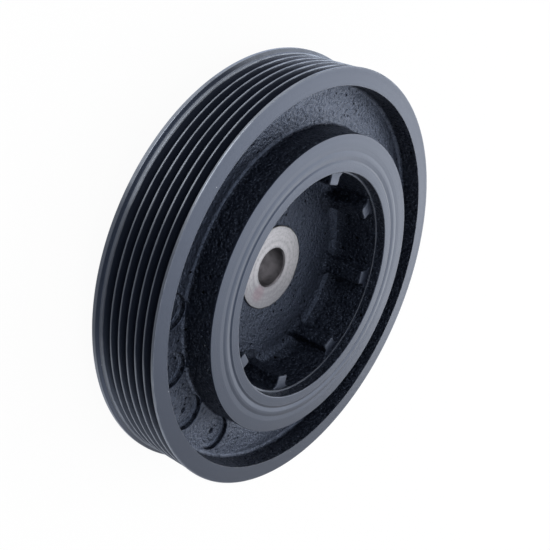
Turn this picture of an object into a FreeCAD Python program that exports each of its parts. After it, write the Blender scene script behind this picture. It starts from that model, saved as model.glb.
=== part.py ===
import FreeCAD, Part
import math
import os
import Sketcher

# A crankshaft pulley with a torsional vibration damper, for a six-rib belt.
# It is three pieces: an iron hub that bolts to the crankshaft, a rubber ring bonded round it,
# and a heavy iron ring round the rubber that carries the belt and evens out the crank's twisting.
# The axis is Z and the open front faces up. The origin is on the axis, in the plane of the
# hub's rear seat, which is what the pulley lies on. Ribs of the cup start on the X axis.

# Driving sizes in millimetres and degrees
sizes = {
    # belt rim
    "rimRadius": 75.85,        # front land
    "rimWall": 6.25,           # front face, from the rim's edge to the recess
    "frontLand": 0.77,         # front face to the belt track
    "flangeWidth": 3.87,       # belt track to the rim's rear edge
    "flangeRise": 1.15,        # rear flange above the front land
    "flangeChamfer": 0.9,
    # belt track
    "grooveCount": 6,
    "groovePitch": 3.56,
    "grooveAngle": 40.0,       # between the flanks of one groove
    "grooveDepth": 3.4,
    # damper ring inside the rim
    "recessDepth": 8.0,
    "raisedWall": 5.4,         # raised ring, from its bore to the recess
    "raisedStep": 3.35,        # raised ring above the front face
    # balance drillings in the recess floor
    "drillingCount": 4,
    "drillingDiameter": 12.8,
    "drillingDepth": 1.7,
    "drillingInset": 6.9,      # raised ring's edge to the drilling's centre
    "drillingStart": 98.0,
    "drillingStep": 20.0,
    # rubber ring
    "rubberThickness": 3.3,
    "rubberSink": 0.15,        # front of the rubber below the iron
    "rubberRearSink": 1.2,
    # hub
    "hubRadius": 45.6,
    "hubWall": 4.35,           # cup's turned mouth to the rubber
    "mouthDepth": 3.6,
    "mouthLedge": 0.75,        # turned ledge between the mouth and the cast wall
    "cupDepth": 21.45,         # raised face to the cup's floor
    "cupCorner": 2.0,          # cast corner round the cup's floor
    "bossRadius": 15.9,
    "bossStep": 0.6,
    "boltHoleDiameter": 14.2,
    # ribs down the cup's wall
    "wallRibCount": 8,
    "wallRibWidth": 5.5,
    "wallRibReach": 5.0,       # inwards from the top of the cast wall
    "wallRibSetback": 0.85,    # top of the rib below the ledge
    "wallRibChamfer": 0.7,
    "wallRibDraft": 1.0,
    # rear of the hub
    "seatRadius": 24.0,
    "noseReach": 6.0,          # crank seat behind the rim's rear edge
    "floorThickness": 4.3,
    "registerDiameter": 28.0,
    "registerDepth": 3.0,
    "keyWidth": 5.0,
    "keyDepth": 2.5,
}

doc = FreeCAD.newDocument("CrankshaftPulley")
sheet = doc.addObject("Spreadsheet::Sheet", "Sizes")
for row, (alias, number) in enumerate(sizes.items(), start=1):
    sheet.set(f"A{row}", alias)
    sheet.set(f"B{row}", str(number))
    sheet.setAlias(f"B{row}", alias)
doc.recompute()


class Size:
    # A number kept together with the sheet formula that gives it, so that what is
    # drawn and the constraint that drives it always come from the same expression.
    def __init__(self, value, formula):
        self.value = value
        self.formula = formula

    def __add__(self, other):
        return Size(self.value + plain(other).value, f"({self.formula} + {plain(other).formula})")

    def __sub__(self, other):
        return Size(self.value - plain(other).value, f"({self.formula} - {plain(other).formula})")

    def __mul__(self, other):
        return Size(self.value * plain(other).value, f"({self.formula} * {plain(other).formula})")

    def __truediv__(self, other):
        return Size(self.value / plain(other).value, f"({self.formula} / {plain(other).formula})")


def plain(amount):
    return amount if isinstance(amount, Size) else Size(float(amount), repr(float(amount)))


def size(alias):
    return Size(float(sheet.get(alias)), f"{sheet.Name}.{alias}")


def tangent(angle):
    return Size(math.tan(math.radians(angle.value)), f"tan({angle.formula} * 1deg)")


def cosine(angle):
    return Size(math.cos(math.radians(angle.value)), f"cos({angle.formula} * 1deg)")


def sine(angle):
    return Size(math.sin(math.radians(angle.value)), f"sin({angle.formula} * 1deg)")


def originPlane(body, role):
    return next(item for item in body.Origin.OriginFeatures if item.Role == role)


def addBody(name):
    body = doc.addObject("PartDesign::Body", name)
    body.Label = name
    body.Placement = FreeCAD.Placement()
    return body


def addSketch(body, name, role):
    sketch = body.newObject("Sketcher::SketchObject", name)
    sketch.AttachmentSupport = [(originPlane(body, role), "")]
    sketch.MapMode = "FlatFace"
    return sketch


def bind(target, field, amount):
    target.setExpression(field, amount.formula)


def holdStart(sketch, line, across, upward):
    # Holds a line's start (its point 1) by its distances from the sketch's origin, which is
    # point 1 of the horizontal axis, -1. None means on that axis; the vertical axis is -2.
    if across is None:
        sketch.addConstraint(Sketcher.Constraint("PointOnObject", line, 1, -2))
    else:
        row = sketch.addConstraint(Sketcher.Constraint("DistanceX", -1, 1, line, 1, across.value))
        sketch.setExpression(f"Constraints[{row}]", across.formula)
    if upward is None:
        sketch.addConstraint(Sketcher.Constraint("PointOnObject", line, 1, -1))
    else:
        row = sketch.addConstraint(Sketcher.Constraint("DistanceY", -1, 1, line, 1, upward.value))
        sketch.setExpression(f"Constraints[{row}]", upward.formula)


def drawOutline(sketch, corners):
    # A closed outline of straight sides through corners of (across, upward)
    places = []
    for across, upward in corners:
        places.append(FreeCAD.Vector(across.value if across else 0.0, upward.value if upward else 0.0, 0.0))
    count = len(places)
    sides = []
    for index in range(count):
        sides.append(sketch.addGeometry(Part.LineSegment(places[index], places[(index + 1) % count]), False))
    for index, (across, upward) in enumerate(corners):
        # each side starts where the one before it ends, at that side's point 2
        sketch.addConstraint(Sketcher.Constraint("Coincident", sides[index - 1], 2, sides[index], 1))
        holdStart(sketch, sides[index], across, upward)


def addTurned(body, kind, name, sketch):
    # A full turn of a sketch about the sketch's own vertical axis
    turned = body.newObject(kind, name)
    turned.Profile = sketch
    turned.ReferenceAxis = (sketch, ["V_Axis"])
    turned.Angle = 360.0
    return turned


def addPolarPattern(body, name, feature, count, sweep):
    pattern = body.newObject("PartDesign::PolarPattern", name)
    pattern.Originals = [feature]
    pattern.Axis = (originPlane(body, "Z_Axis"), [""])
    pattern.Angle = sweep.value
    pattern.Occurrences = int(count.value)
    bind(pattern, "Angle", sweep)
    bind(pattern, "Occurrences", count)
    body.Tip = pattern
    return pattern


# Heights above the crank seat
rimRear = size("noseReach")
trackEnd = rimRear + size("flangeWidth")
trackStart = trackEnd + size("groovePitch") * size("grooveCount")
frontFace = trackStart + size("frontLand")
raisedFace = frontFace + size("raisedStep")
recessFloor = frontFace - size("recessDepth")
rubberFront = raisedFace - size("rubberSink")
cupLedge = raisedFace - size("mouthDepth")
cupFloor = raisedFace - size("cupDepth")
bossFace = cupFloor + size("bossStep")
wallRibTop = cupLedge - size("wallRibSetback")
hubRearFloor = cupFloor - size("floorThickness")
rubberRear = hubRearFloor + size("rubberRearSink")
registerFloor = size("registerDepth")

# Radii
ringBore = size("hubRadius") + size("rubberThickness")
raisedRadius = ringBore + size("raisedWall")
recessRadius = size("rimRadius") - size("rimWall")
flangeRadius = size("rimRadius") + size("flangeRise")
mouthRadius = size("hubRadius") - size("hubWall")
wallRadius = mouthRadius - size("mouthLedge")
wallRibTip = wallRadius - size("wallRibReach")
boltHoleRadius = size("boltHoleDiameter") / 2
registerRadius = size("registerDiameter") / 2

# Pulley ring: one turned section with the belt track's grooves in it. Each groove has a flat
# root between two flanks, and neighbouring flanks meet in the edge of a rib.
flankSlope = tangent(size("grooveAngle") / 2)
grooveRoot = size("rimRadius") - size("grooveDepth")
rootHalfWidth = size("groovePitch") / 2 - size("grooveDepth") * flankSlope


def grooveCorners():
    # From the rear flange forwards: the rib's edge, then both corners of the root
    corners = []
    for groove in range(int(size("grooveCount").value)):
        ribEdge = trackEnd + size("groovePitch") * groove
        middle = ribEdge + size("groovePitch") / 2
        corners.append((size("rimRadius"), ribEdge))
        corners.append((grooveRoot, middle - rootHalfWidth))
        corners.append((grooveRoot, middle + rootHalfWidth))
    return corners


pulleyRing = addBody("pulley_ring")
ringSketch = addSketch(pulleyRing, "RingSection", "XZ_Plane")
drawOutline(ringSketch, [
    (ringBore, rimRear),
    (flangeRadius - size("flangeChamfer"), rimRear),
    (flangeRadius, rimRear + size("flangeChamfer")),
] + grooveCorners() + [
    (size("rimRadius"), trackStart),
    (size("rimRadius"), frontFace),
    (recessRadius, frontFace),
    (recessRadius, recessFloor),
    (raisedRadius, recessFloor),
    (raisedRadius, raisedFace),
    (ringBore, raisedFace),
])
ringBlank = addTurned(pulleyRing, "PartDesign::Revolution", "RingBlank", ringSketch)

# Pulley ring: flat-bottomed balance drillings in the recess floor
cutMargin = 0.5
drillingRadius = size("drillingDiameter") / 2
drillingBottom = recessFloor - size("drillingDepth")
drillingTop = recessFloor + cutMargin
drillingPitchRadius = raisedRadius + size("drillingInset")
drillingSketch = addSketch(pulleyRing, "DrillingSection", "XZ_Plane")
# the sketch stands on the drilling's centre line, turned about the pulley's axis,
# and its plane's vertical is the pulley's axis
drillingTurn = FreeCAD.Rotation(FreeCAD.Vector(0, 1, 0), size("drillingStart").value)
drillingSketch.AttachmentOffset = FreeCAD.Placement(FreeCAD.Vector(), drillingTurn)
bind(drillingSketch, "AttachmentOffset.Rotation.Angle", size("drillingStart"))
bind(drillingSketch, "AttachmentOffset.Base.x", drillingPitchRadius * cosine(size("drillingStart")))
bind(drillingSketch, "AttachmentOffset.Base.z", drillingPitchRadius * sine(size("drillingStart")) * -1)
drawOutline(drillingSketch, [
    (None, drillingBottom),
    (drillingRadius, drillingBottom),
    (drillingRadius, drillingTop),
    (None, drillingTop),
])
drilling = addTurned(pulleyRing, "PartDesign::Groove", "Drilling", drillingSketch)
drillings = addPolarPattern(pulleyRing, "Drillings", drilling, size("drillingCount"),
                            size("drillingStep") * (size("drillingCount") - 1))

# Rubber ring: fills the gap between hub and pulley ring
rubberRing = addBody("rubber_ring")
rubberSketch = addSketch(rubberRing, "RubberSection", "XZ_Plane")
drawOutline(rubberSketch, [
    (size("hubRadius"), rubberRear),
    (ringBore, rubberRear),
    (ringBore, rubberFront),
    (size("hubRadius"), rubberFront),
])
addTurned(rubberRing, "PartDesign::Revolution", "RubberBlank", rubberSketch)

# Hub: cup, boss, bolt hole and rear seat in one turned section
hub = addBody("hub")
hubSketch = addSketch(hub, "HubSection", "XZ_Plane")
drawOutline(hubSketch, [
    (boltHoleRadius, bossFace),
    (size("bossRadius"), bossFace),
    (size("bossRadius"), cupFloor),
    (wallRadius - size("cupCorner"), cupFloor),
    (wallRadius, cupFloor + size("cupCorner")),
    (wallRadius, cupLedge),
    (mouthRadius, cupLedge),
    (mouthRadius, raisedFace),
    (size("hubRadius"), raisedFace),
    (size("hubRadius"), hubRearFloor),
    (size("seatRadius"), hubRearFloor),
    (size("seatRadius"), None),
    (registerRadius, None),
    (registerRadius, registerFloor),
    (boltHoleRadius, registerFloor),
])
hubBlank = addTurned(hub, "PartDesign::Revolution", "HubBlank", hubSketch)

# Hub: one cast rib, from inside the floor up to its flat top, repeated round the cup.
# It is drawn at its root and narrows upwards by the casting's draft.
ribRoot = (cupFloor + hubRearFloor) / 2
ribHeight = wallRibTop - ribRoot
ribDrift = ribHeight * tangent(size("wallRibDraft"))
ribHalfWidth = size("wallRibWidth") / 2 + ribDrift
ribInner = wallRibTip - ribDrift
ribOuter = (wallRadius + size("hubRadius")) / 2
ribSketch = addSketch(hub, "RibSection", "XY_Plane")
bind(ribSketch, "AttachmentOffset.Base.z", ribRoot)
drawOutline(ribSketch, [
    (ribInner, size("wallRibChamfer") - ribHalfWidth),
    (ribInner + size("wallRibChamfer"), ribHalfWidth * -1),
    (ribOuter, ribHalfWidth * -1),
    (ribOuter, ribHalfWidth),
    (ribInner + size("wallRibChamfer"), ribHalfWidth),
    (ribInner, ribHalfWidth - size("wallRibChamfer")),
])
wallRib = hub.newObject("PartDesign::Pad", "WallRib")
wallRib.Profile = ribSketch
bind(wallRib, "Length", ribHeight)
bind(wallRib, "TaperAngle", size("wallRibDraft") * -1)
doc.recompute()
wallRibs = addPolarPattern(hub, "WallRibs", wallRib, size("wallRibCount"), plain(360.0))

# Hub: key notch in the wall of the rear register
notchSketch = addSketch(hub, "NotchSection", "XY_Plane")
bind(notchSketch, "AttachmentOffset.Base.z", registerFloor)
drawOutline(notchSketch, [
    (boltHoleRadius, size("keyWidth") / -2),
    (registerRadius + size("keyDepth"), size("keyWidth") / -2),
    (registerRadius + size("keyDepth"), size("keyWidth") / 2),
    (boltHoleRadius, size("keyWidth") / 2),
])
keyNotch = hub.newObject("PartDesign::Pocket", "KeyNotch")
keyNotch.Profile = notchSketch
keyNotch.Type = "ThroughAll"
hub.Tip = keyNotch
doc.recompute()

# Checks before anything is written
bodies = [pulleyRing, rubberRing, hub]
for item in doc.Objects:
    if "Invalid" in item.State or "Error" in item.State:
        raise RuntimeError(f"{item.Name} did not build: {item.State}")
for body in bodies:
    if body.Shape.isNull() or not body.Shape.isValid() or len(body.Shape.Solids) != 1:
        raise RuntimeError(f"{body.Label} is not one valid solid")

# Every cut takes metal away and every rib adds some
steps = [
    (ringBlank, drilling, False),
    (drilling, drillings, False),
    (hubBlank, wallRib, True),
    (wallRib, wallRibs, True),
    (wallRibs, keyNotch, False),
]
for before, after, grows in steps:
    change = after.Shape.Volume - before.Shape.Volume
    print(f"{after.Name}: volume changes by {change:.1f} cubic mm")
    if (change > 0) != grows:
        raise RuntimeError(f"{after.Name} changed the volume the wrong way")

os.makedirs("parts", exist_ok=True)
for body in bodies:
    body.Shape.exportStep(f"parts/{body.Label}.step")
    print(f"{body.Label}: {body.Shape.Volume / 1000.0:.1f} cubic cm")
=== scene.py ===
import math

import bmesh
import bpy
import numpy as np
from mathutils import Matrix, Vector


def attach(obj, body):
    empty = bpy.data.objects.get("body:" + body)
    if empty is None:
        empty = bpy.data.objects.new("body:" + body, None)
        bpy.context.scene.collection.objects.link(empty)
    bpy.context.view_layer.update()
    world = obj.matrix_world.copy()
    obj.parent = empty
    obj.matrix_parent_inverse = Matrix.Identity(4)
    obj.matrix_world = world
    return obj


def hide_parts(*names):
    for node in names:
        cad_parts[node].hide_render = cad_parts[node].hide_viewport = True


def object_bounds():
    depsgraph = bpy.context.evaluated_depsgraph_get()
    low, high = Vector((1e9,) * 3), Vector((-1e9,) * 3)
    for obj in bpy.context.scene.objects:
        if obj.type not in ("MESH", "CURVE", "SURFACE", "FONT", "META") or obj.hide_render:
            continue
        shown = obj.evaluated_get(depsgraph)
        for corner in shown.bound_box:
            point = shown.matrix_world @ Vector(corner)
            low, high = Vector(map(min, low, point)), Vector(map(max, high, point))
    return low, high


# A crankshaft pulley with a damper ring, lying on its hub's rear seat with its open front up.
# The camera is rolled over, so that the picture shows the pulley standing on its rim.
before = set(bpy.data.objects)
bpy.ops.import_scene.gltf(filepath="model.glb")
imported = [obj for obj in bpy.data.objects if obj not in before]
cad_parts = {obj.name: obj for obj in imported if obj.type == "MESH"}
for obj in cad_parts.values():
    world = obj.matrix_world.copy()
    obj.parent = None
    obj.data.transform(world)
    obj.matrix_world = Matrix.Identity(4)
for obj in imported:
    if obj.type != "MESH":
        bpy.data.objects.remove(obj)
cadBox = [list(corner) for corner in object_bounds()]
millimetre = 0.001
rimRear = 6.0      # the rim's rear edge above the floor; the sections below count heights from it
print("frame loaded")


# Camera, floor and light

picture = {
    "eye": (0.076573, 0.270492, 0.199584),
    "right": (0.241245, -0.590422, 0.770197),
    "up": (0.941706, -0.049353, -0.332799),
    "lens": 61.226,
    "sensor": 36.0,
    "shift": 0.00091,          # half a pixel to the right and down
    "nearest": 0.01,
}


def placedAt(sideways, upwards, backwards, place):
    # The matrix of a camera or lamp with these three axes
    matrix = Matrix([list(row) for row in np.stack([sideways, upwards, backwards], axis=1)]).to_4x4()
    matrix.translation = place
    return matrix


def addCamera():
    data = bpy.data.cameras.new("camera")
    data.sensor_width = picture["sensor"]
    data.lens = picture["lens"]
    data.shift_x, data.shift_y = -picture["shift"], picture["shift"]
    data.clip_start = picture["nearest"]
    camera = bpy.data.objects.new("camera", data)
    bpy.context.scene.collection.objects.link(camera)
    right = np.array(picture["right"])
    back = np.cross(right, np.array(picture["up"]))
    back /= np.linalg.norm(back)
    camera.matrix_world = placedAt(right, np.cross(back, right), back, picture["eye"])
    bpy.context.scene.camera = camera


def fillInputs(tree, node, inputs):
    # Plain values, or the sockets to link from
    for key, value in inputs.items():
        if isinstance(value, bpy.types.NodeSocket):
            tree.links.new(value, node.inputs[key])
        else:
            node.inputs[key].default_value = value


def addNode(tree, kind, inputs=None, **settings):
    node = tree.nodes.new(kind)
    for key, value in settings.items():
        setattr(node, key, value)
    fillInputs(tree, node, inputs or {})
    return node


def calc(tree, operation, first, second=0.0, third=0.0, clamp=False):
    node = addNode(tree, "ShaderNodeMath", {0: first, 1: second, 2: third}, operation=operation)
    node.use_clamp = clamp
    return node.outputs[0]


def softStep(tree, value, low, high, lowResult=0.0, highResult=1.0):
    # Goes smoothly from lowResult to highResult while the value goes from low to high
    node = addNode(tree, "ShaderNodeMapRange",
                   {"Value": value, "From Min": low, "From Max": high,
                    "To Min": lowResult, "To Max": highResult})
    node.interpolation_type = "SMOOTHSTEP"
    return node.outputs["Result"]


def mixColours(tree, share, first, second):
    node = addNode(tree, "ShaderNodeMix", data_type="RGBA")
    factor, colourA, colourB = node.inputs["Factor"], node.inputs[6], node.inputs[7]
    for socket, value in ((factor, share), (colourA, first), (colourB, second)):
        if isinstance(value, bpy.types.NodeSocket):
            tree.links.new(value, socket)
        else:
            socket.default_value = value if isinstance(value, float) else (*value, 1.0)
    return node.outputs[2]


def mixValues(tree, share, first, second):
    node = addNode(tree, "ShaderNodeMix", {0: share, 2: first, 3: second}, data_type="FLOAT")
    return node.outputs[0]


def newMaterial(name):
    material = bpy.data.materials.new(name)
    material.use_nodes = True
    tree = material.node_tree
    surface = tree.nodes["Principled BSDF"]
    place = tree.nodes.new("ShaderNodeTexCoord").outputs["Object"]
    return material, tree, surface, place


studio = {
    "floorReach": 3.0,
    "floorRows": 9,
    "floorDrop": 0.00005,      # how far it lies under the pulley's seat
    "floorColour": (0.86, 0.86, 0.87),
    "floorShade": (0.85, 0.85, 0.86),
    "floorRoughness": 0.9,
    "floorSpecular": 0.1,
    "mottleScale": 6.0,
    "floorGlow": 0.955,        # share of plain white in what the camera and reflections see
    "surround": 0.30,          # the plain light from all round
    "wallGlow": 0.76,          # the pale wall in the reflections
    "ceilingGlow": 0.90,       # the paler ceiling above it
    "wallTop": (0.10, 0.45),   # the wall turns into the ceiling between these, as sines of the height
    "darkFrom": (0.62, 0.84),  # the ceiling fades out between these
    "darkGlow": 0.33,          # the share of its glow that is left there
}


def seenDirectly(tree):
    # Light Path's camera ray, and a mask of what the camera, gloss and glass see
    path = tree.nodes.new("ShaderNodeLightPath").outputs
    mirrored = calc(tree, "MAXIMUM", path["Is Camera Ray"], path["Is Glossy Ray"])
    return path["Is Camera Ray"], calc(tree, "MAXIMUM", mirrored, path["Is Transmission Ray"])


def addFloor():
    # A flat grid: x and y run over it, z stays at nought
    reach, count = studio["floorReach"], studio["floorRows"]
    line = np.linspace(-reach, reach, count)
    across, along = np.meshgrid(line, line)
    vertices = np.stack([across, along, np.zeros_like(across)], axis=-1).reshape(-1, 3)
    rows = np.arange(count * count).reshape(count, count)
    faces = np.stack([rows[:-1, :-1], rows[:-1, 1:], rows[1:, 1:], rows[1:, :-1]], axis=-1)
    mesh = bpy.data.meshes.new("floor")
    mesh.from_pydata(vertices.tolist(), [], faces.reshape(-1, 4).tolist())
    floor = bpy.data.objects.new("floor", mesh)
    bpy.context.scene.collection.objects.link(floor)
    floor.location.z = cadBox[0][2] - studio["floorDrop"]

    material, tree, surface, place = newMaterial("paleFloor")
    mottle = addNode(tree, "ShaderNodeTexNoise",
                     {"Vector": place, "Scale": studio["mottleScale"], "Detail": 3.0})
    tree.links.new(mixColours(tree, mottle.outputs[0], studio["floorShade"], studio["floorColour"]),
                   surface.inputs["Base Color"])
    surface.inputs["Roughness"].default_value = studio["floorRoughness"]
    surface.inputs["Specular IOR Level"].default_value = studio["floorSpecular"]
    seen = seenDirectly(tree)[1]
    glow = addNode(tree, "ShaderNodeEmission", {"Color": (1.0, 1.0, 1.0, 1.0), "Strength": 1.0})
    blend = addNode(tree, "ShaderNodeMixShader", {0: calc(tree, "MULTIPLY", seen, studio["floorGlow"]),
                                                  1: surface.outputs[0], 2: glow.outputs[0]})
    tree.links.new(blend.outputs[0], tree.nodes["Material Output"].inputs["Surface"])
    mesh.materials.append(material)


def addSurround():
    world = bpy.data.worlds.new("studio")
    bpy.context.scene.world = world
    world.use_nodes = True
    tree = world.node_tree
    cameraRay, seen = seenDirectly(tree)
    # a pale wall all round, a paler ceiling and a dark middle, by how high each direction points
    direction = tree.nodes.new("ShaderNodeTexCoord").outputs["Generated"]
    upwards = addNode(tree, "ShaderNodeSeparateXYZ", {0: direction}).outputs["Z"]
    glow = softStep(tree, upwards, *studio["wallTop"], studio["wallGlow"], studio["ceilingGlow"])
    fade = softStep(tree, upwards, *studio["darkFrom"], 1.0, studio["darkGlow"])
    glow = calc(tree, "MAXIMUM", calc(tree, "MULTIPLY", glow, fade), cameraRay)
    background = tree.nodes["Background"]
    background.inputs["Color"].default_value = (1.0, 1.0, 1.0, 1.0)
    tree.links.new(mixValues(tree, seen, studio["surround"], glow), background.inputs["Strength"])


# each lamp: turn about the axis and height in degrees, distance, width, height, power, colour
lamps = {
    "frontPanel": (275.0, 22.0, 1.3, 1.1, 0.70, 6.2, (0.96, 0.98, 1.0)),
    "highPanel": (275.0, 50.0, 1.3, 1.1, 0.50, 4.6, (0.96, 0.98, 1.0)),
    "topPanel": (255.0, 80.0, 1.3, 1.0, 0.90, 4.4, (0.97, 0.98, 1.0)),
    "sidePanel": (292.0, 40.0, 1.3, 0.6, 0.50, 1.3, (1.0, 1.0, 1.0)),
    "endPanel": (180.0, 30.0, 1.4, 0.8, 0.8, 3.6, (1.0, 1.0, 1.0)),
    "backPanel": (35.0, 40.0, 1.4, 0.8, 0.8, 6.8, (1.0, 1.0, 1.0)),
}


def addLamps():
    for name, (turn, height, distance, width, tall, power, colour) in lamps.items():
        data = bpy.data.lights.new(name, "AREA")
        data.shape = "RECTANGLE"
        data.size = width
        data.size_y = tall
        data.energy = power
        data.color = colour
        lamp = bpy.data.objects.new(name, data)
        bpy.context.scene.collection.objects.link(lamp)
        turn, height = math.radians(turn), math.radians(height)
        back = np.array([math.cos(height) * math.cos(turn), math.cos(height) * math.sin(turn),
                         math.sin(height)])
        side = np.array([-math.sin(turn), math.cos(turn), 0.0])
        lamp.matrix_world = placedAt(side, np.cross(back, side), back, back * distance)


bpy.context.scene.view_settings.view_transform = "Standard"
addCamera()
addFloor()
addSurround()
addLamps()
print("camera, floor and lamps placed")


# Shapes

def roundedSection(corners, arcPoints=5):
    # A closed section through corners of (radius, height, rounding, finish), sides straight.
    # A corner with a pair of finishes changes from one to the other half way round its arc.
    # Round a corner the points are start + R * (inward * (1 - cos a) + ahead * sin a), where
    # start lies R * tan(turn / 2) before the corner and a goes from nought to the turn.
    places = np.array([corner[:2] for corner in corners], float)
    points = []
    finishes = []
    for index, (rounding, finish) in enumerate(corner[2:] for corner in corners):
        here = places[index]
        ahead = here - places[index - 1]
        after = places[(index + 1) % len(places)] - here
        ahead = ahead / np.linalg.norm(ahead)
        after = after / np.linalg.norm(after)
        turn = math.atan2(ahead[0] * after[1] - ahead[1] * after[0], float(ahead @ after))
        if rounding > 0.0 and abs(turn) > 0.01:
            inward = math.copysign(1.0, turn) * np.array([-ahead[1], ahead[0]])
            start = here - ahead * rounding * math.tan(abs(turn) / 2.0)
            sweep = np.linspace(0.0, abs(turn), arcPoints)[:, None]
            arc = start + rounding * (inward * (1.0 - np.cos(sweep)) + ahead * np.sin(sweep))
        else:
            arc = here[None, :]
        points.append(arc)
        first, second = finish if isinstance(finish, tuple) else (finish, finish)
        finishes += [first] * (len(arc) // 2) + [second] * (len(arc) - len(arc) // 2)
    return np.concatenate(points), np.array(finishes)


def turnedRing(section, finishes, steps, centre=(0.0, 0.0)):
    # A closed section carried round the axis: x = radius * cos(turn), y = radius * sin(turn),
    # z = height above the rim's rear edge plus that edge's own height
    turn = np.linspace(0.0, 2.0 * math.pi, steps, endpoint=False)
    count = len(section)
    x = centre[0] + np.outer(np.cos(turn), section[:, 0])
    y = centre[1] + np.outer(np.sin(turn), section[:, 0])
    z = np.broadcast_to(section[:, 1] + rimRear, x.shape)
    vertices = np.stack([x, y, z], axis=-1).reshape(-1, 3) * millimetre
    rows = np.arange(steps * count).reshape(steps, count)
    onTurn = np.roll(rows, -1, axis=0)
    faces = np.stack([rows, onTurn, np.roll(onTurn, -1, axis=1), np.roll(rows, -1, axis=1)], axis=-1)
    return vertices, faces.reshape(-1, 4), np.tile(finishes, steps)


def turnedPlug(section, finishes, steps, centre):
    # An open section from the axis back to the axis, carried round it, with one point at each end.
    # There is one finish for each stretch between two points of the section.
    turn = np.linspace(0.0, 2.0 * math.pi, steps, endpoint=False)
    between = section[1:-1]
    count = len(between)
    x = centre[0] + np.outer(np.cos(turn), between[:, 0])
    y = centre[1] + np.outer(np.sin(turn), between[:, 0])
    z = np.broadcast_to(between[:, 1] + rimRear, x.shape)
    ends = [[*centre, section[0][1] + rimRear], [*centre, section[-1][1] + rimRear]]
    vertices = np.concatenate([np.stack([x, y, z], axis=-1).reshape(-1, 3), np.array(ends)]) * millimetre
    rows = np.arange(steps * count).reshape(steps, count)
    onTurn = np.roll(rows, -1, axis=0)
    sides = np.stack([rows[:, :-1], onTurn[:, :-1], onTurn[:, 1:], rows[:, 1:]], axis=-1).reshape(-1, 4)
    first = np.full(steps, steps * count)
    start = np.stack([first, onTurn[:, 0], rows[:, 0]], axis=-1)
    end = np.stack([first + 1, rows[:, -1], onTurn[:, -1]], axis=-1)
    faces = sides.tolist() + start.tolist() + end.tolist()
    sideFinishes = np.tile(finishes[1:-1], steps).tolist()
    return vertices, faces, sideFinishes + [finishes[0]] * steps + [finishes[-1]] * steps


def newPiece(name, vertices, faces, finishes, materials):
    mesh = bpy.data.meshes.new(name)
    mesh.from_pydata(np.asarray(vertices).tolist(), [], [list(face) for face in faces])
    for material in materials:
        mesh.materials.append(material)
    mesh.polygons.foreach_set("material_index", np.asarray(finishes, dtype=np.int32))
    mesh.polygons.foreach_set("use_smooth", np.ones(len(mesh.polygons), dtype=bool))
    mesh.update()
    piece = bpy.data.objects.new(name, mesh)
    bpy.context.scene.collection.objects.link(piece)
    return piece


def joinSurfaces(surfaces):
    # Several (vertices, faces, finishes) as one
    vertices, faces, finishes = [], [], []
    offset = 0
    for points, polygons, finish in surfaces:
        vertices.append(np.asarray(points))
        faces += [[corner + offset for corner in polygon] for polygon in polygons]
        finishes += list(finish)
        offset += len(points)
    return np.concatenate(vertices), faces, finishes


def combine(piece, other, operation):
    # Takes the other solid out of the piece, or joins it on, and removes the other
    change = piece.modifiers.new("combine", "BOOLEAN")
    change.operation = operation
    change.solver = "EXACT"
    change.object = other
    bpy.context.view_layer.update()
    result = bpy.data.meshes.new_from_object(piece.evaluated_get(bpy.context.evaluated_depsgraph_get()))
    result.name = piece.name
    piece.modifiers.clear()
    piece.data = result
    bpy.data.objects.remove(other)


def finishShading(piece, sharpFrom=38.0):
    piece.data.set_sharp_from_angle(angle=math.radians(sharpFrom))
    weighted = piece.modifiers.new("evenShading", "WEIGHTED_NORMAL")
    weighted.keep_sharp = True
    weighted.weight = 100


# Effects that the finishes share

turning = {
    "heightShare": 0.63,       # the rings follow radius plus this share of the height
    "streakShare": 0.21,       # broad streaks, as a share of the fine lines
}

# the pattern scales are shares of the grain's own, and each pair is where a mask starts and is full
sand = {
    "pitShare": 0.55,
    "pits": (0.12, 0.42),
    "pitHeight": 0.30,
    "hollows": (0.50, 0.34),
    "waveShare": 0.22,
    "waveHeight": 1.1,
    "holeShare": 0.40,
    "holePick": (0.72, 0.80),  # which cells have a pinhole
    "holeEdge": (0.06, -0.04),
    "holeRagged": -0.35,
    "holeHeight": -0.5,
    "fleckShare": 1.8,
    "flecks": (0.57, 0.68),
}

motes = {
    "cloudScale": 48.0,
    "speckScale": 420.0,
    "speckEdge": (0.10, 0.05),
    "speckRarity": 0.99,       # one cell in a hundred has a speck
}

rubAndHighlightScale = 340.0               # how finely a rubbed edge and its painted highlight are broken up


def newGroup(name, inputs, outputs):
    # An empty group, with what it is given and what it puts out
    group = bpy.data.node_groups.new(name, "ShaderNodeTree")
    for label, kind, value in inputs:
        socket = group.interface.new_socket(label, in_out="INPUT", socket_type=kind)
        if value is not None:
            socket.default_value = value
    for label in outputs:
        group.interface.new_socket(label, in_out="OUTPUT", socket_type="NodeSocketFloat")
    entry = group.nodes.new("NodeGroupInput")
    leave = group.nodes.new("NodeGroupOutput")
    return group, entry.outputs, leave.inputs


def radiusAndHeight(tree, place):
    parts = addNode(tree, "ShaderNodeSeparateXYZ", {0: place}).outputs
    flat = addNode(tree, "ShaderNodeCombineXYZ", {"X": parts["X"], "Y": parts["Y"]})
    radius = addNode(tree, "ShaderNodeVectorMath", {0: flat.outputs[0]}, operation="LENGTH")
    return radius.outputs["Value"], parts["Z"]


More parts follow.
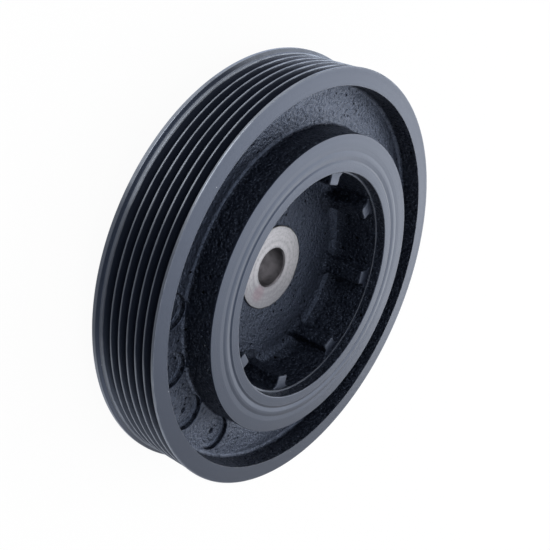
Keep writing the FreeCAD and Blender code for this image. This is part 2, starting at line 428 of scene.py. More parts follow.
def makeTurnedMarks():
    # Fine rings left by the turning tool: noise along radius plus height
    group, given, result = newGroup(
        "turnedMarks",
        [("Place", "NodeSocketVector", None), ("Lines", "NodeSocketFloat", 2600.0)],
        ["Height", "Streak"])
    radius, height = radiusAndHeight(group, given["Place"])
    along = calc(group, "MULTIPLY_ADD", height, turning["heightShare"], radius)
    fine = calc(group, "MULTIPLY", along, given["Lines"])
    coarse = calc(group, "MULTIPLY", fine, turning["streakShare"])
    marks = addNode(group, "ShaderNodeTexNoise", {"W": fine, "Scale": 1.0, "Detail": 3.0},
                    noise_dimensions="1D")
    streak = addNode(group, "ShaderNodeTexNoise", {"W": coarse, "Scale": 1.0, "Detail": 2.0},
                     noise_dimensions="1D")
    group.links.new(marks.outputs[0], result["Height"])
    group.links.new(streak.outputs[0], result["Streak"])
    return group


def makeCastSkin():
    # The sand's grain under the paint: rounded bumps, broad waves, pits, pale flecks that paint glints,
    # and pinholes
    group, given, result = newGroup(
        "castSkin",
        [("Place", "NodeSocketVector", None), ("Grain", "NodeSocketFloat", 620.0)],
        ["Height", "Pits", "Glints", "Holes"])
    bumps = addNode(group, "ShaderNodeTexNoise",
                    {"Vector": given["Place"], "Scale": given["Grain"], "Detail": 5.0, "Roughness": 0.6})

    def pattern(kind, share, **settings):
        scale = calc(group, "MULTIPLY", given["Grain"], sand[share])
        return addNode(group, kind, {"Vector": given["Place"], "Scale": scale, **settings}).outputs

    cells = pattern("ShaderNodeTexVoronoi", "pitShare")
    pits = softStep(group, cells["Distance"], *sand["pits"])
    waves = pattern("ShaderNodeTexNoise", "waveShare", Detail=2.0)
    spread = pattern("ShaderNodeTexVoronoi", "holeShare")
    pick = addNode(group, "ShaderNodeSeparateXYZ", {0: spread["Color"]}).outputs["X"]
    ragged = calc(group, "MULTIPLY_ADD", bumps.outputs[0], sand["holeRagged"], spread["Distance"])
    holes = calc(group, "MULTIPLY", softStep(group, ragged, *sand["holeEdge"]),
                 softStep(group, pick, *sand["holePick"]))
    flecks = pattern("ShaderNodeTexNoise", "fleckShare", Detail=2.0, Roughness=0.7)
    total = calc(group, "MULTIPLY_ADD", pits, sand["pitHeight"], bumps.outputs[0])
    total = calc(group, "MULTIPLY_ADD", holes, sand["holeHeight"], total)
    total = calc(group, "MULTIPLY_ADD", waves[0], sand["waveHeight"], total)
    group.links.new(total, result["Height"])
    group.links.new(softStep(group, bumps.outputs[0], *sand["hollows"]), result["Pits"])
    group.links.new(softStep(group, flecks[0], *sand["flecks"]), result["Glints"])
    group.links.new(holes, result["Holes"])
    return group


def makePaintMottle():
    # Broad clouds in the paint's gloss, and sparse specks of dust in it
    group, given, result = newGroup(
        "paintMottle", [("Place", "NodeSocketVector", None)], ["Cloud", "Specks"])
    cloud = addNode(group, "ShaderNodeTexNoise",
                    {"Vector": given["Place"], "Scale": motes["cloudScale"], "Detail": 4.0})
    cells = addNode(group, "ShaderNodeTexVoronoi",
                    {"Vector": given["Place"], "Scale": motes["speckScale"]})
    pick = addNode(group, "ShaderNodeSeparateXYZ", {0: cells.outputs["Color"]}).outputs["X"]
    near = softStep(group, cells.outputs["Distance"], *motes["speckEdge"])
    rare = calc(group, "GREATER_THAN", pick, motes["speckRarity"])
    group.links.new(cloud.outputs[0], result["Cloud"])
    group.links.new(calc(group, "MULTIPLY", near, rare), result["Specks"])
    return group


def makeEdgeRubAndHighlight():
    # Paint rubbed thin along one turned edge, with the highlight that edge catches painted in: near the
    # circle of that radius and height, broken up
    group, given, result = newGroup(
        "edgeRubAndHighlight",
        [("Place", "NodeSocketVector", None), ("Radius", "NodeSocketFloat", 0.07),
         ("Height", "NodeSocketFloat", 0.02), ("Width", "NodeSocketFloat", 0.0005)],
        ["Mask"])
    radius, height = radiusAndHeight(group, given["Place"])
    outwards = calc(group, "SUBTRACT", radius, given["Radius"])
    upwards = calc(group, "SUBTRACT", height, given["Height"])
    away = calc(group, "SQRT", calc(group, "MULTIPLY_ADD", outwards, outwards,
                                    calc(group, "MULTIPLY", upwards, upwards)))
    broken = addNode(group, "ShaderNodeTexNoise",
                     {"Vector": given["Place"], "Scale": rubAndHighlightScale, "Detail": 4.0})
    reach = calc(group, "MULTIPLY", given["Width"], calc(group, "MULTIPLY", broken.outputs[0], 2.0))
    near = calc(group, "SUBTRACT", 1.0, calc(group, "DIVIDE", away, reach), clamp=True)
    group.links.new(near, result["Mask"])
    return group


turnedMarks = makeTurnedMarks()
castSkin = makeCastSkin()
paintMottle = makePaintMottle()
edgeRubAndHighlight = makeEdgeRubAndHighlight()


def useGroup(tree, group, inputs):
    node = tree.nodes.new("ShaderNodeGroup")
    node.node_tree = group
    fillInputs(tree, node, inputs)
    return node.outputs


# Finishes

paint = {
    "colour": (0.0030, 0.0042, 0.0085),
    "thinColour": (0.0065, 0.0085, 0.0150),
    # the rubbed colour is worn paint and also a painted highlight along the edges
    "rubbedAndHighlit": (0.16, 0.17, 0.19),
    # the worn colour is iron showing through and also the crests' painted highlight
    "wornAndLit": (0.28, 0.305, 0.350),
    # the grain colour is a painted glint on the cast grain
    "glintColour": (0.100, 0.125, 0.175),
    "dust": (0.30, 0.31, 0.33),
    # the hollow and hole colours are painted shade in the sand's hollows and pinholes
    "hollowShade": (0.001, 0.001, 0.002),
    "hole": (0.001, 0.001, 0.001),
    "gloss": 0.72,
    "glossTint": (0.56, 0.69, 1.0, 1.0),
    "turnedDepth": 0.000012,   # metres
    "peel": 3.0,               # the paint's own unevenness beside the turning marks
    "peelScale": 3200.0,
    "rubAndHighlightShare": 0.7,
    "pitShadeShare": 0.35,           # painted shade: how much of the reflection the sand's hollows lose
}

# turned paint: how fine its rings are, how deep beside turnedDepth, roughness and gloss
turnedFinishes = {
    "ringTurnedPaint": {"lines": 2600.0, "depth": 1.0, "roughness": 0.38, "gloss": paint["gloss"]},
    "trackTurnedPaint": {"lines": 3400.0, "depth": 1.0, "roughness": 0.34, "gloss": 0.60},
    "hubTurnedPaint": {"lines": 2400.0, "depth": 1.2, "roughness": 0.38, "gloss": paint["gloss"]},
}

# cast paint: the grain's scale, its depth in metres, roughness, gloss and the share of pale flecks
# painted as glints
castFinishes = {
    "castPaint": {"grain": 900.0, "depth": 0.00080, "roughness": 0.28, "gloss": 0.28, "pale": 0.60},
    "floorPaint": {"grain": 1000.0, "depth": 0.00075, "roughness": 0.36, "gloss": 0.85, "pale": 0.20},
    "recessPaint": {"grain": 1100.0, "depth": 0.00045, "roughness": 0.38, "gloss": 1.0, "pale": 0.30},
}


def setPaintGloss(surface, gloss):
    surface.inputs["Specular IOR Level"].default_value = gloss
    surface.inputs["Specular Tint"].default_value = paint["glossTint"]


def makeTurnedPaint(name, edges=()):
    # Paint over a turned face, rubbed thin along edges of (radius, height, width), with their highlights
    # painted in there
    finish = turnedFinishes[name]
    material, tree, surface, place = newMaterial(name)
    setPaintGloss(surface, finish["gloss"])
    marks = useGroup(tree, turnedMarks, {"Place": place, "Lines": finish["lines"]})
    mottle = useGroup(tree, paintMottle, {"Place": place})
    colour = mixColours(tree, mottle["Cloud"], paint["colour"], paint["thinColour"])
    for radius, height, width in edges:
        rubAndHighlight = useGroup(tree, edgeRubAndHighlight, {"Place": place, "Radius": radius * millimetre,
                                       "Height": (height + rimRear) * millimetre,
                                       "Width": width * millimetre})
        share = calc(tree, "MULTIPLY", rubAndHighlight["Mask"], paint["rubAndHighlightShare"])
        colour = mixColours(tree, share, colour, paint["rubbedAndHighlit"])
    colour = mixColours(tree, mottle["Specks"], colour, paint["dust"])
    tree.links.new(colour, surface.inputs["Base Color"])
    rough = calc(tree, "MULTIPLY_ADD", marks["Streak"], 0.10, finish["roughness"] - 0.05)
    rough = calc(tree, "MULTIPLY_ADD", mottle["Cloud"], 0.08, rough)
    tree.links.new(rough, surface.inputs["Roughness"])
    peel = addNode(tree, "ShaderNodeTexNoise",
                   {"Vector": place, "Scale": paint["peelScale"], "Detail": 3.0})
    uneven = calc(tree, "MULTIPLY_ADD", peel.outputs[0], paint["peel"], marks["Height"])
    depth = paint["turnedDepth"] * finish["depth"]
    bump = addNode(tree, "ShaderNodeBump", {"Height": uneven, "Distance": depth, "Strength": 1.0})
    tree.links.new(bump.outputs[0], surface.inputs["Normal"])
    return material


crests = {
    "from": (0.07525, 0.07555),        # radii in metres
    "ragged": 0.0006,
    "raggedScale": 120.0,
    "flankFoot": (0.07586, 0.07591),
    "flankTop": (0.07692, 0.07686),
    "flankLitTowards": (0.062, 0.0735),      # painted highlight: towards +X the flange's flank is lightened too
    "flankPaint": 0.35,
    "wholeY": (0.0700, 0.0752),        # painted shade: towards +Y, and towards -X, the crests are lightened less
    "wholeYShare": 0.30,
    "wholeX": (-0.030, 0.030),
    "wholeXShare": 0.55,
    "broken": (0.25, 0.55, 0.65, 0.95),
    "roughness": 0.24,
    "metal": 0.6,
}


def addWornAndLitCrests(material):
    # The rib edges, the lands beside them and the flange's rim stand proud, so their paint is worn thin
    # and shows iron; the same lightening also paints the highlights these crests catch.
    # On the +Y side and towards -X less is lightened, which is painted shade.
    tree = material.node_tree
    surface = tree.nodes["Principled BSDF"]
    place = tree.nodes.new("ShaderNodeTexCoord").outputs["Object"]
    radius = radiusAndHeight(tree, place)[0]
    broken = addNode(tree, "ShaderNodeTexNoise",
                     {"Vector": place, "Scale": crests["raggedScale"], "Detail": 4.0})
    ragged = calc(tree, "MULTIPLY_ADD", calc(tree, "SUBTRACT", broken.outputs[0], 0.5),
                  crests["ragged"], radius)
    crest = softStep(tree, ragged, *crests["from"])
    flank = calc(tree, "MULTIPLY", softStep(tree, radius, *crests["flankFoot"]),
                 softStep(tree, radius, *crests["flankTop"]))
    aside = addNode(tree, "ShaderNodeSeparateXYZ", {0: place}).outputs
    flank = calc(tree, "MULTIPLY", flank,
                 softStep(tree, aside["X"], *crests["flankLitTowards"], 1.0, crests["flankPaint"]))
    wornAndLit = calc(tree, "MULTIPLY",
                softStep(tree, aside["Y"], *crests["wholeY"], 1.0, crests["wholeYShare"]),
                softStep(tree, aside["X"], *crests["wholeX"], crests["wholeXShare"], 1.0))
    share = calc(tree, "MULTIPLY", calc(tree, "MULTIPLY", crest, wornAndLit),
                 calc(tree, "SUBTRACT", 1.0, flank))
    share = calc(tree, "MULTIPLY", share, softStep(tree, broken.outputs[0], *crests["broken"]))
    painted = surface.inputs["Base Color"].links[0].from_socket
    tree.links.new(mixColours(tree, share, painted, paint["wornAndLit"]), surface.inputs["Base Color"])
    rough = surface.inputs["Roughness"].links[0].from_socket
    tree.links.new(mixValues(tree, share, rough, crests["roughness"]), surface.inputs["Roughness"])
    tree.links.new(calc(tree, "MULTIPLY", share, crests["metal"]), surface.inputs["Metallic"])


def makeCastPaint(name):
    finish = castFinishes[name]
    material, tree, surface, place = newMaterial(name)
    setPaintGloss(surface, finish["gloss"])
    skin = useGroup(tree, castSkin, {"Place": place, "Grain": finish["grain"]})
    mottle = useGroup(tree, paintMottle, {"Place": place})
    colour = mixColours(tree, mottle["Cloud"], paint["colour"], paint["thinColour"])
    # painted shade: the hollows and pinholes are darkened
    colour = mixColours(tree, calc(tree, "MULTIPLY", skin["Pits"], 0.8), colour, paint["hollowShade"])
    # painted glints: pale flecks on the grain
    pale = calc(tree, "MULTIPLY", skin["Glints"], finish["pale"])
    colour = mixColours(tree, pale, colour, paint["glintColour"])
    colour = mixColours(tree, skin["Holes"], colour, paint["hole"])
    colour = mixColours(tree, mottle["Specks"], colour, paint["dust"])
    tree.links.new(colour, surface.inputs["Base Color"])
    rough = calc(tree, "MULTIPLY_ADD", skin["Pits"], 0.22, finish["roughness"])
    rough = calc(tree, "MULTIPLY_ADD", skin["Holes"], 0.4, rough)
    tree.links.new(rough, surface.inputs["Roughness"])
    # painted shade: black metal reflects nothing but at a grazing angle, so the pits and pinholes lose
    # their reflection
    paintedPitShade = calc(tree, "MULTIPLY_ADD", skin["Pits"], paint["pitShadeShare"], skin["Holes"], clamp=True)
    tree.links.new(paintedPitShade, surface.inputs["Metallic"])
    bump = addNode(tree, "ShaderNodeBump",
                   {"Height": skin["Height"], "Distance": finish["depth"], "Strength": 1.0})
    tree.links.new(bump.outputs[0], surface.inputs["Normal"])
    return material


bare = {
    "colour": (0.272, 0.269, 0.283),
    "dullColour": (0.172, 0.172, 0.190),
    "dullTowards": (0.002, -0.012, 0.0, 0.7),     # the -X side is duller
    "stain": (0.16, 0.09, 0.115),
    "stainPlace": (-0.0095, 0.0042, 0.0145),
    "stainReach": (0.0045, 0.0015),
    "stainShare": 0.42,
    "paintFrom": 15.5,         # millimetres; the paint's ragged inner edge on the seat
    "paintSoft": 0.12,
    "paintRagged": 0.35,
    "metal": 0.75,
    "depth": 0.00001,
    "lines": 3800.0,
    "blotchScale": 260.0,
    "spotScale": 900.0,
}

boreWall = {
    "colour": (0.050, 0.049, 0.055),
    "paintedLight": (0.145, 0.138, 0.152),
    "paintedLightTowards": (0.006, -0.005, 0.5, 1.6),    # painted light: the -X side is lighter
    "metal": 0.85,
    "depth": 0.00003,
    "lines": 3000.0,
    "blotchScale": 200.0,
}

rubberFinish = {
    "roughness": 0.36,
    "rippleScale": 380.0,
    "depth": 0.00004,
}


def makeBareIron():
    # The turned bolt seat: clean in the middle, paint creeping in from its edge
    material, tree, surface, place = newMaterial("bareIron")
    radius = radiusAndHeight(tree, place)[0]
    marks = useGroup(tree, turnedMarks, {"Place": place, "Lines": bare["lines"]})
    blotch = addNode(tree, "ShaderNodeTexNoise",
                     {"Vector": place, "Scale": bare["blotchScale"], "Detail": 5.0})
    ragged = calc(tree, "MULTIPLY_ADD", calc(tree, "SUBTRACT", blotch.outputs[0], 0.5),
                  bare["paintRagged"] * 2.0 * millimetre, radius)
    painted = softStep(tree, ragged, (bare["paintFrom"] - bare["paintSoft"]) * millimetre,
                       (bare["paintFrom"] + bare["paintSoft"]) * millimetre)
    spots = addNode(tree, "ShaderNodeTexNoise",
                    {"Vector": place, "Scale": bare["spotScale"], "Detail": 6.0})
    dull = softStep(tree, spots.outputs[0], 0.40, 0.75, 0.0, 0.6)
    dull = calc(tree, "MULTIPLY_ADD", marks["Streak"], 1.1, calc(tree, "SUBTRACT", dull, 0.45),
                clamp=True)
    across = addNode(tree, "ShaderNodeSeparateXYZ", {0: place}).outputs["X"]
    dull = calc(tree, "ADD", dull, softStep(tree, across, *bare["dullTowards"]), clamp=True)
    colour = mixColours(tree, dull, bare["colour"], bare["dullColour"])
    around = addNode(tree, "ShaderNodeVectorMath", {0: place, 1: bare["stainPlace"]},
                     operation="DISTANCE").outputs["Value"]
    stain = calc(tree, "MULTIPLY", softStep(tree, around, *bare["stainReach"]), bare["stainShare"])
    colour = mixColours(tree, stain, colour, bare["stain"])
    colour = mixColours(tree, painted, colour, paint["colour"])
    tree.links.new(colour, surface.inputs["Base Color"])
    tree.links.new(mixValues(tree, painted, bare["metal"], 0.0), surface.inputs["Metallic"])
    rough = calc(tree, "MULTIPLY_ADD", dull, 0.12, 0.40)
    tree.links.new(mixValues(tree, painted, rough, 0.38), surface.inputs["Roughness"])
    bump = addNode(tree, "ShaderNodeBump", {"Height": marks["Height"], "Distance": bare["depth"]})
    tree.links.new(bump.outputs[0], surface.inputs["Normal"])
    return material


def makeBoreIron():
    # The bolt hole's wall, lighter on the -X side as painted light, broken up by blotches
    material, tree, surface, place = newMaterial("boreIron")
    marks = useGroup(tree, turnedMarks, {"Place": place, "Lines": boreWall["lines"]})
    blotch = addNode(tree, "ShaderNodeTexNoise",
                     {"Vector": place, "Scale": boreWall["blotchScale"], "Detail": 5.0})
    across = addNode(tree, "ShaderNodeSeparateXYZ", {0: place}).outputs["X"]
    # painted light: lighter towards -X, broken up by blotches
    paintedLight = calc(tree, "MULTIPLY", softStep(tree, blotch.outputs[0], 0.20, 0.80),
                 softStep(tree, across, *boreWall["paintedLightTowards"]))
    colour = mixColours(tree, paintedLight, boreWall["colour"], boreWall["paintedLight"])
    tree.links.new(colour, surface.inputs["Base Color"])
    surface.inputs["Metallic"].default_value = boreWall["metal"]
    rough = calc(tree, "MULTIPLY_ADD", marks["Streak"], 0.2, 0.32)
    tree.links.new(rough, surface.inputs["Roughness"])
    bump = addNode(tree, "ShaderNodeBump", {"Height": marks["Height"], "Distance": boreWall["depth"]})
    tree.links.new(bump.outputs[0], surface.inputs["Normal"])
    return material


def makeRubberPaint():
    # Rubber under the same paint, with fine mould ripples
    material, tree, surface, place = newMaterial("rubberPaint")
    setPaintGloss(surface, paint["gloss"])
    ripple = addNode(tree, "ShaderNodeTexNoise",
                     {"Vector": place, "Scale": rubberFinish["rippleScale"], "Detail": 3.0})
    mottle = useGroup(tree, paintMottle, {"Place": place})
    colour = mixColours(tree, mottle["Cloud"], paint["colour"], paint["thinColour"])
    colour = mixColours(tree, mottle["Specks"], colour, paint["dust"])
    tree.links.new(colour, surface.inputs["Base Color"])
    rough = calc(tree, "MULTIPLY_ADD", mottle["Cloud"], 0.10, rubberFinish["roughness"])
    tree.links.new(rough, surface.inputs["Roughness"])
    bump = addNode(tree, "ShaderNodeBump",
                   {"Height": ripple.outputs[0], "Distance": rubberFinish["depth"]})
    tree.links.new(bump.outputs[0], surface.inputs["Normal"])
    return material


# the rubbed edges, painted lighter as worn paint and as painted highlights, are the rim's front and rear
# edge, the recess's mouth, the cup's mouth and its ledge
ringTurned = makeTurnedPaint("ringTurnedPaint",
                             [(75.85, 25.9, 0.5), (76.9, 1.0, 0.6), (69.6, 26.0, 0.35)])
trackTurned = makeTurnedPaint("trackTurnedPaint")
hubTurned = makeTurnedPaint("hubTurnedPaint", [(41.25, 29.3, 0.35), (40.5, 25.75, 0.6)])
addWornAndLitCrests(trackTurned)
castPaint = makeCastPaint("castPaint")
floorPaint = makeCastPaint("floorPaint")
recessPaint = makeCastPaint("recessPaint")
bareIron = makeBareIron()
boreIron = makeBoreIron()
rubberPaint = makeRubberPaint()
print("finishes made")


# Pulley ring

ring = {
    "steps": 384,
    "inner": 48.9,             # radii and heights in millimetres
    "flange": 77.0,
    "flangeFront": 1.9,
    "land": 75.85,             # the plain lands before and behind the grooves
    "front": 26.0,
    "recessMouth": 69.65,
    "recessFoot": 69.35,
    "raisedFoot": 55.6,
    "raisedTop": 54.5,
    "raisedFront": 29.35,
    "recessFloor": 18.0,
    "grooves": 6,
    "pitch": 3.56,
    "flankAngle": 20.0,
    "trackEnd": 3.87,
    "tipFlat": 0.4,
    "tipRadius": 75.6,
    "tipRound": 0.12,
    "rootRadius": 72.45,
    "rootRound": 0.34,
    "drillings": (98.0, 118.0, 138.0, 158.0),   # turned from +X, in degrees
    "drillingCentre": 61.2,
    "drillingRadius": 6.4,
    "drillingFloor": 16.3,
    "drillingSteps": 96,
    "cutterReach": 4.0,        # how far the drillings' cutters stand out of the recess's floor
}


def trackCorners(finish):
    # Rib edge, groove root, rib edge ... from the rear flange forwards
    flank = (ring["tipRadius"] - ring["rootRadius"]) * math.tan(math.radians(ring["flankAngle"]))
    halfRoot = (ring["pitch"] - ring["tipFlat"]) / 2.0 - flank
    corners = []
    for groove in range(ring["grooves"]):
        edge = ring["trackEnd"] + ring["pitch"] * groove
        middle = edge + ring["pitch"] / 2.0
        if groove > 0:
            corners.append((ring["tipRadius"], edge - ring["tipFlat"] / 2.0, ring["tipRound"], finish))
            corners.append((ring["tipRadius"], edge + ring["tipFlat"] / 2.0, ring["tipRound"], finish))
        corners.append((ring["rootRadius"], middle - halfRoot, ring["rootRound"], finish))
        corners.append((ring["rootRadius"], middle + halfRoot, ring["rootRound"], finish))
    return corners


def addPulleyRing():
    turned, track, cast, recess = 0, 1, 2, 3
    section, finishes = roundedSection([
        (ring["inner"], 0.0, 0.4, turned),
        (ring["flange"] - 0.7, 0.0, 0.4, track),
        (ring["flange"], 0.7, 0.5, track),
        (ring["flange"], ring["flangeFront"], 0.15, track),
        (ring["flange"] - 0.2, ring["flangeFront"] + 0.25, 0.1, track),
        (ring["land"] + 0.1, ring["flangeFront"] + 0.75, 0.4, track),
        (ring["land"], ring["flangeFront"] + 1.05, 0.1, track),
        (ring["land"], ring["trackEnd"] - 0.12, 0.15, track),
    ] + trackCorners(track) + [
        (ring["land"], ring["front"] - 0.75, 0.1, track),
        (ring["land"], ring["front"] - 0.2, 0.06, track),
        (ring["land"] - 0.19, ring["front"], 0.06, turned),
        (ring["recessMouth"], ring["front"], 0.15, cast),
        (ring["recessMouth"] - 0.15, ring["front"] - 1.0, 0.0, cast),
        (ring["recessFoot"], ring["recessFloor"], 1.3, recess),
        (ring["raisedFoot"], ring["recessFloor"], 1.2, recess),
        (ring["raisedTop"] + 0.22, ring["recessFloor"] + 1.0, 1.6, cast),
        (ring["raisedTop"], ring["raisedFront"] - 0.45, 0.0, turned),
        (ring["raisedTop"] - 0.05, ring["raisedFront"], 0.12, turned),
        (ring["inner"] + 1.5, ring["raisedFront"], 2.0, turned),
        (ring["inner"], ring["raisedFront"] - 0.1, 0.0, turned),
    ])
    materials = [ringTurned, trackTurned, castPaint, recessPaint]
    piece = newPiece("ironRing", *turnedRing(section, finishes, ring["steps"]), materials)

    # each drilling: a dimple left by the drill's point, a floor with a faint ring, a straight wall
    # and a soft lip
    floor, top, radius = ring["drillingFloor"], ring["recessFloor"], ring["drillingRadius"]
    profile = np.array([
        (0.0, floor - 1.3), (0.7, floor - 0.75), (1.0, floor - 0.2), (1.25, floor),
        (radius - 2.1, floor + 0.10), (radius - 1.75, floor - 0.04), (radius - 1.35, floor + 0.22),
        (radius - 0.45, floor + 0.30), (radius - 0.12, floor + 0.38),
        (radius, floor + 0.62), (radius, top - 0.3), (radius + 0.06, top - 0.1),
        (radius + 0.2, top + 0.03), (radius + 0.21, top + ring["cutterReach"]),
        (0.0, top + ring["cutterReach"])])
    # painted shade: the dimple, the floor's outer band beside the wall and the wall take the darker cast
    # paint
    finishes = [cast] * 2 + [recess] * 5 + [cast] * 3 + [recess] * (len(profile) - 11)
    plugs = []
    for turn in ring["drillings"]:
        centre = (ring["drillingCentre"] * math.cos(math.radians(turn)),
                  ring["drillingCentre"] * math.sin(math.radians(turn)))
        plugs.append(turnedPlug(profile, finishes, ring["drillingSteps"], centre))
    cutter = newPiece("drillings", *joinSurfaces(plugs), materials)
    combine(piece, cutter, "DIFFERENCE")
    finishShading(piece)
    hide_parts("pulley_ring")
    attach(piece, "root")


addPulleyRing()
print("pulley ring made")


# Rubber ring

rubber = {
    "steps": 256,
    "inner": 45.6,
    "outer": 48.9,
    "rear": 4.8,
    "front": 29.34,            # its crown, between the two shallow creases
    "crown": (46.9, 47.7),
}


def addRubberRing():
    low, high = rubber["crown"]
    section, finishes = roundedSection([
        (rubber["inner"], rubber["rear"], 0.6, 0),
        (rubber["outer"], rubber["rear"], 0.6, 0),
        (rubber["outer"], rubber["front"] - 0.09, 0.0, 0),
        (rubber["outer"] - 0.2, rubber["front"] - 0.11, 0.5, 0),
        (high, rubber["front"], 1.5, 0),
        (low, rubber["front"], 2.0, 0),
        (rubber["inner"], rubber["front"] - 0.22, 0.0, 0),
    ])
    piece = newPiece("rubberBand", *turnedRing(section, finishes, rubber["steps"]), [rubberPaint])
    finishShading(piece)
    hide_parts("rubber_ring")
    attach(piece, "root")


addRubberRing()
print("rubber ring made")


# Hub

hub = {
    "steps": 288,
    "outer": 45.6,
    "front": 29.35,
    "boltHole": 7.1,
    "boss": 15.9,
    "bossTop": 8.5,
    "register": 14.0,
    "registerTop": -3.0,
    "nose": 24.0,
    "rear": -6.0,
    "web": 3.6,                # the rear of the hub between the nose and the rubber
    "notch": ((5.0, -2.5, -1.0), (16.5, 2.5, 3.0)),
}

cup = {
    "mouth": 41.25,
    "wallTop": 40.3,
    "wallFoot": 39.8,
    "floor": 7.9,
    "floorRound": 5.2,
    "ledge": 25.75,
    "ribRoot": 42.6,           # the ribs start inside the wall
    "ribSteps": [38.2, 38.7, 39.1, 39.5, 39.8, 40.1],
    "ribs": 8,
    "ribTip": 35.3,
    "ribWidth": 5.5,
    "ribTop": 24.9,
    "ribCorner": 0.9,
    "ribTopRound": 0.5,
    "ribFootFlare": 2.8,
    "ribWallFlare": 2.0,
    "ribDraft": 1.0,           # degrees
    "ribDepth": 1.4,           # how far the ribs reach into the floor
    "arcPoints": 7,
}


def ribSurface(turn, finish, topFinish):
    # A rounded plan outline carried upwards. Its offset from the plan is R - sqrt(R^2 - (R - h)^2)
    # near the floor, where it flares out, the same with its sign changed near the top, where it
    # rounds in, and in between the casting's draft. Beside the wall its half width flares too.
    half = cup["ribWidth"] / 2.0
    outer, along = cup["ribRoot"], cup["ribSteps"]
    corners = [(cup["ribTip"], -half, cup["ribCorner"], finish)]
    corners += [(step, -half, 0.0, finish) for step in along] + [(outer, -half, 0.0, finish)]
    corners += [(outer, half, 0.0, finish)] + [(step, half, 0.0, finish) for step in reversed(along)]
    corners += [(cup["ribTip"], half, cup["ribCorner"], finish)]
    plan = roundedSection(corners, cup["arcPoints"])[0]
    ahead = np.roll(plan, -1, axis=0) - np.roll(plan, 1, axis=0)
    outward = np.stack([ahead[:, 1], -ahead[:, 0]], axis=1) / np.linalg.norm(ahead, axis=1)[:, None]
    near = np.clip(plan[:, 0] - (cup["wallFoot"] + 0.2 - cup["ribWallFlare"]), 0.0, cup["ribWallFlare"])
    widen = cup["ribWallFlare"] - np.sqrt(cup["ribWallFlare"] ** 2 - near ** 2)
    plan = plan + np.stack([np.zeros_like(widen), np.sign(plan[:, 1]) * widen], axis=1)

    foot, top = cup["ribFootFlare"], cup["ribTopRound"]
    footRise = foot * (1.0 - np.cos(np.linspace(0.0, math.pi / 2.0, 8)))
    topRise = top * np.sin(np.linspace(0.0, math.pi / 2.0, 6))
    levels = np.concatenate([[-cup["ribDepth"]], footRise, [7.0, 12.0],
                             cup["ribTop"] - cup["floor"] - top + topRise])
    full = cup["ribTop"] - cup["floor"]
    flare = foot - np.sqrt(np.clip(foot ** 2 - np.clip(foot - levels, 0.0, foot) ** 2, 0.0, None))
    shrink = top - np.sqrt(np.clip(top ** 2 - np.clip(levels - (full - top), 0.0, top) ** 2, 0.0, None))
    draft = (full - levels) * math.tan(math.radians(cup["ribDraft"]))
    offset = (flare - shrink + draft)[:, None, None]
    rings = plan[None] + outward[None] * offset
    heights = np.broadcast_to((cup["floor"] + levels)[:, None], rings.shape[:2])

    # the flat top and the hidden bottom close on a line along the rib's middle
    spine = np.stack([np.clip(plan[:, 0], cup["ribTip"] + 1.2, outer - 1.0), np.zeros(len(plan))],
                     axis=1)
    closing = [rings[-1] + (spine - rings[-1]) * share for share in (0.3, 1.0)]
    rings = np.concatenate([spine[None], rings, np.array(closing)])
    heights = np.concatenate([heights[:1], heights, heights[-1:], heights[-1:]])
    turn = math.radians(turn)
    x = rings[..., 0] * math.cos(turn) - rings[..., 1] * math.sin(turn)
    y = rings[..., 0] * math.sin(turn) + rings[..., 1] * math.cos(turn)
    vertices = np.stack([x, y, heights + rimRear], axis=-1).reshape(-1, 3) * millimetre
    count = len(plan)
    rows = np.arange(len(rings) * count).reshape(len(rings), count)
    onwards = np.roll(rows, -1, axis=1)
    faces = np.stack([rows[:-1], onwards[:-1], onwards[1:], rows[1:]], axis=-1).reshape(-1, 4)
    finishes = np.full((len(rings) - 1, count), finish)
    finishes[-3:] = topFinish
    return vertices, faces.tolist(), finishes.ravel().tolist()


def weldDoubles(piece, distance=0.00001):
    work = bmesh.new()
    work.from_mesh(piece.data)
    bmesh.ops.remove_doubles(work, verts=work.verts, dist=distance)
    bmesh.ops.dissolve_degenerate(work, edges=work.edges, dist=distance / 10.0)
    work.to_mesh(piece.data)
    work.free()


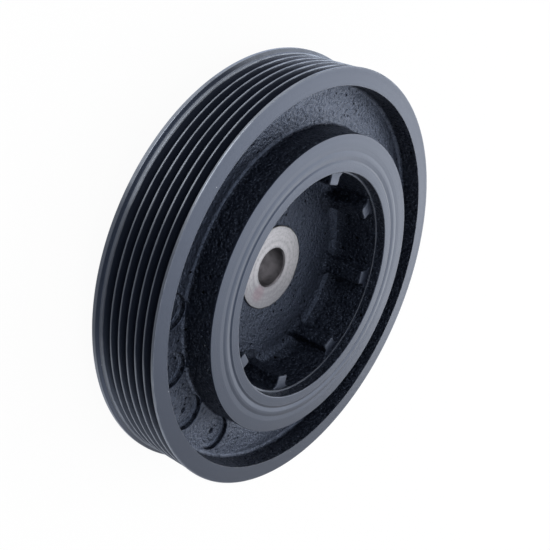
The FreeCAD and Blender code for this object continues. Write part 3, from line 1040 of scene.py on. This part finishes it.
def addHub():
    turned, cast, seat, bore, floor = 0, 1, 2, 3, 4
    section, finishes = roundedSection([
        (hub["boltHole"] + 0.5, hub["bossTop"], 0.15, bore),
        (hub["boltHole"], hub["bossTop"] - 0.5, 0.15, bore),
        (hub["boltHole"], hub["registerTop"], 0.3, seat),
        (hub["register"], hub["registerTop"], 0.1, seat),
        (hub["register"], hub["rear"], 0.3, seat),
        (hub["nose"], hub["rear"], 0.5, turned),
        (hub["nose"], hub["web"], 0.8, cast),
        (hub["outer"], hub["web"], 0.5, cast),
        (hub["outer"], hub["front"] - 0.24, 0.0, turned),
        (hub["outer"] - 0.2, hub["front"] - 0.24, 0.15, turned),
        (hub["outer"] - 0.8, hub["front"], 0.5, turned),
        (cup["mouth"], hub["front"], 0.45, (turned, cast)),
        (cup["mouth"] - 0.2, cup["ledge"], 0.15, turned),
        (cup["wallTop"], cup["ledge"], 0.2, cast),
        (cup["wallFoot"], cup["floor"], cup["floorRound"], (cast, floor)),
        (hub["boss"] + 0.05, cup["floor"], 0.15, floor),
        (hub["boss"], hub["bossTop"], 0.2, seat),
    ], cup["arcPoints"])
    materials = [hubTurned, castPaint, bareIron, boreIron, floorPaint]
    piece = newPiece("ironHub", *turnedRing(section, finishes, hub["steps"]), materials)

    # the key notch at the rear, a block through the wall of the register
    low, high = hub["notch"]
    block = np.array([(x, y, z) for z in (low[2], high[2]) for y in (low[1], high[1])
                      for x in (low[0], high[0])]) * millimetre
    sides = [(0, 2, 3, 1), (4, 5, 7, 6), (0, 1, 5, 4), (2, 6, 7, 3), (0, 4, 6, 2), (1, 3, 7, 5)]
    notch = newPiece("notchBlock", block, sides, [seat] * len(sides), materials)
    combine(piece, notch, "DIFFERENCE")

    ribs = [ribSurface(index * 360.0 / cup["ribs"], cast, turned) for index in range(cup["ribs"])]
    ribPiece = newPiece("cupRibs", *joinSurfaces(ribs), materials)
    weldDoubles(ribPiece)
    combine(piece, ribPiece, "UNION")
    weldDoubles(piece)
    finishShading(piece)
    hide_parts("hub")
    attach(piece, "root")


addHub()
print("hub made")
